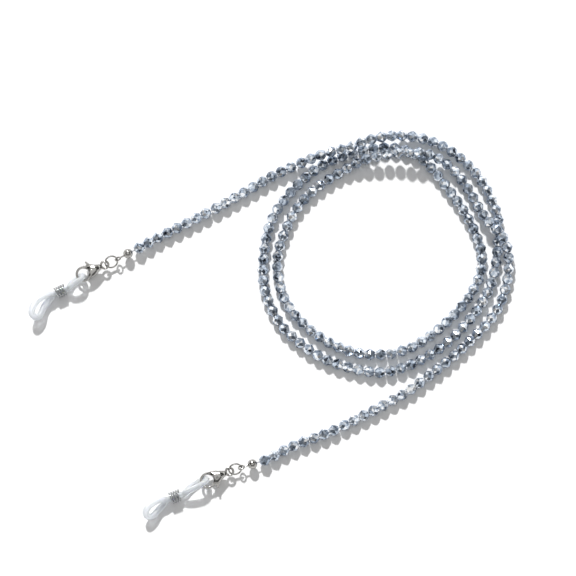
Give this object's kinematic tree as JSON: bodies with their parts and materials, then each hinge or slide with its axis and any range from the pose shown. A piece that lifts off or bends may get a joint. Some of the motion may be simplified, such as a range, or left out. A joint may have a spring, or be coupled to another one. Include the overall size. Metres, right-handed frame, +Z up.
{
  "type": "eyeglass retainer strap",
  "caption": "Faceted crystal bead string for hanging spectacles round the neck, with a lobster clasp and a silicone temple loop closed by a sliding wire coil at each end.",
  "frame": {"origin": "on the table under the middle of the laid-out strap's outline", "axes": "+Z up from the table, +X along the longer side of the outline, towards the coil; the two clasps are at -X"},
  "size_m": [0.168, 0.1365, 0.0083],
  "materials": {
    "crystal": "half-plated faceted crystal, silver-blue, mirror bright",
    "thread": "grey beading thread",
    "plated_metal": "bright nickel plate, polished",
    "coil_wire": "bright drawn wire",
    "spring_steel": "drawn spring wire",
    "silicone": "milky translucent silicone, satin"
  },
  "bodies": {
    "coil": {"thread_coil": "thread", "beads_coil_01": "crystal", "beads_coil_02": "crystal", "beads_coil_03": "crystal", "beads_coil_04": "crystal", "beads_coil_05": "crystal", "beads_coil_06": "crystal", "beads_coil_07": "crystal", "beads_coil_08": "crystal", "beads_coil_09": "crystal", "beads_coil_10": "crystal", "beads_coil_11": "crystal", "beads_coil_12": "crystal"},
    "tail_a_inner": {"thread_tail_a_inner": "thread", "beads_tail_a_inner": "crystal"},
    "tail_a_outer": {"thread_tail_a_outer": "thread", "beads_tail_a_outer": "crystal", "bead_tip_a": "plated_metal", "crimp_a": "plated_metal"},
    "end_bead_a": {"end_bead_a": "crystal"},
    "jump_ring_a": {"jump_ring_a": "plated_metal"},
    "clasp_a": {"clasp_body_a": "plated_metal", "clasp_rivet_a": "plated_metal", "lever_spring_a": "spring_steel"},
    "lever_a": {"clasp_lever_a": "plated_metal"},
    "band_a": {"temple_band_a": "silicone"},
    "band_coil_a": {"band_coil_a": "coil_wire"},
    "tail_b_inner": {"thread_tail_b_inner": "thread", "beads_tail_b_inner": "crystal"},
    "tail_b_outer": {"thread_tail_b_outer": "thread", "beads_tail_b_outer": "crystal", "bead_tip_b": "plated_metal", "crimp_b": "plated_metal"},
    "end_bead_b": {"end_bead_b": "crystal"},
    "jump_ring_b": {"jump_ring_b": "plated_metal"},
    "clasp_b": {"clasp_body_b": "plated_metal", "clasp_rivet_b": "plated_metal", "lever_spring_b": "spring_steel"},
    "lever_b": {"clasp_lever_b": "plated_metal"},
    "band_b": {"temple_band_b": "silicone"},
    "band_coil_b": {"band_coil_b": "coil_wire"}
  },
  "joints": [
    {"name": "tail_a_inner_bend", "type": "hinge", "parent": "coil", "child": "tail_a_inner", "pos_m": [0.00806, 0.05558, 0.00246], "axis": [0, 0, 1], "range_deg": [-18, 18]},
    {"name": "tail_a_outer_bend", "type": "hinge", "parent": "tail_a_inner", "child": "tail_a_outer", "pos_m": [-0.02165, 0.03932, 0.002], "axis": [0, 0, 1], "range_deg": [-18, 18]},
    {"name": "end_bead_a_spin", "type": "hinge", "parent": "tail_a_outer", "child": "end_bead_a", "pos_m": [-0.04651, 0.02612, 0.00269], "axis": [0.8692, 0.4879, -0.0801], "continuous": true},
    {"name": "jump_ring_a_swing", "type": "hinge", "parent": "tail_a_outer", "child": "jump_ring_a", "pos_m": [-0.05392, 0.0221, 0.003], "axis": [0, 0, 1], "range_deg": [-12, 12]},
    {"name": "clasp_a_swing", "type": "hinge", "parent": "jump_ring_a", "child": "clasp_a", "pos_m": [-0.05847, 0.02003, 0.003], "axis": [0, 0, 1], "range_deg": [-20, 20]},
    {"name": "lever_a_open", "type": "hinge", "parent": "clasp_a", "child": "lever_a", "pos_m": [-0.06299, 0.01862, 0.003], "axis": [0, 0, 1], "range_deg": [0, 18], "stiffness_Nm_per_rad": 0.002},
    {"name": "band_a_swing", "type": "hinge", "parent": "clasp_a", "child": "band_a", "pos_m": [-0.06578, 0.01678, 0.003], "axis": [0, 0, 1], "range_deg": [-12, 12]},
    {"name": "band_coil_a_slide", "type": "slide", "parent": "band_a", "child": "band_coil_a", "axis": [0.9063, 0.4226, 0], "range_m": [-0.0006, 0.0006]},
    {"name": "tail_b_inner_bend", "type": "hinge", "parent": "coil", "child": "tail_b_inner", "pos_m": [0.0523, -0.02008, 0.002], "axis": [0, 0, 1], "range_deg": [-12, 12]},
    {"name": "tail_b_outer_bend", "type": "hinge", "parent": "tail_b_inner", "child": "tail_b_outer", "pos_m": [0.02291, -0.03689, 0.002], "axis": [0, 0, 1], "range_deg": [-18, 18]},
    {"name": "end_bead_b_spin", "type": "hinge", "parent": "tail_b_outer", "child": "end_bead_b", "pos_m": [-0.0028, -0.04822, 0.00262], "axis": [-0.9157, -0.3817, 0.1259], "continuous": true},
    {"name": "jump_ring_b_swing", "type": "hinge", "parent": "tail_b_outer", "child": "jump_ring_b", "pos_m": [-0.01083, -0.05075, 0.003], "axis": [0, 0, 1], "range_deg": [-12, 12]},
    {"name": "clasp_b_swing", "type": "hinge", "parent": "jump_ring_b", "child": "clasp_b", "pos_m": [-0.01488, -0.05217, 0.003], "axis": [0, 0, 1], "range_deg": [-20, 20]},
    {"name": "lever_b_open", "type": "hinge", "parent": "clasp_b", "child": "lever_b", "pos_m": [-0.01902, -0.05447, 0.003], "axis": [0, 0, -1], "range_deg": [0, 18], "stiffness_Nm_per_rad": 0.002},
    {"name": "band_b_swing", "type": "hinge", "parent": "clasp_b", "child": "band_b", "pos_m": [-0.02227, -0.05523, 0.003], "axis": [0, 0, 1], "range_deg": [-12, 12]},
    {"name": "band_coil_b_slide", "type": "slide", "parent": "band_b", "child": "band_coil_b", "axis": [0.9397, 0.342, 0], "range_m": [-0.0006, 0.0006]}
  ]
}
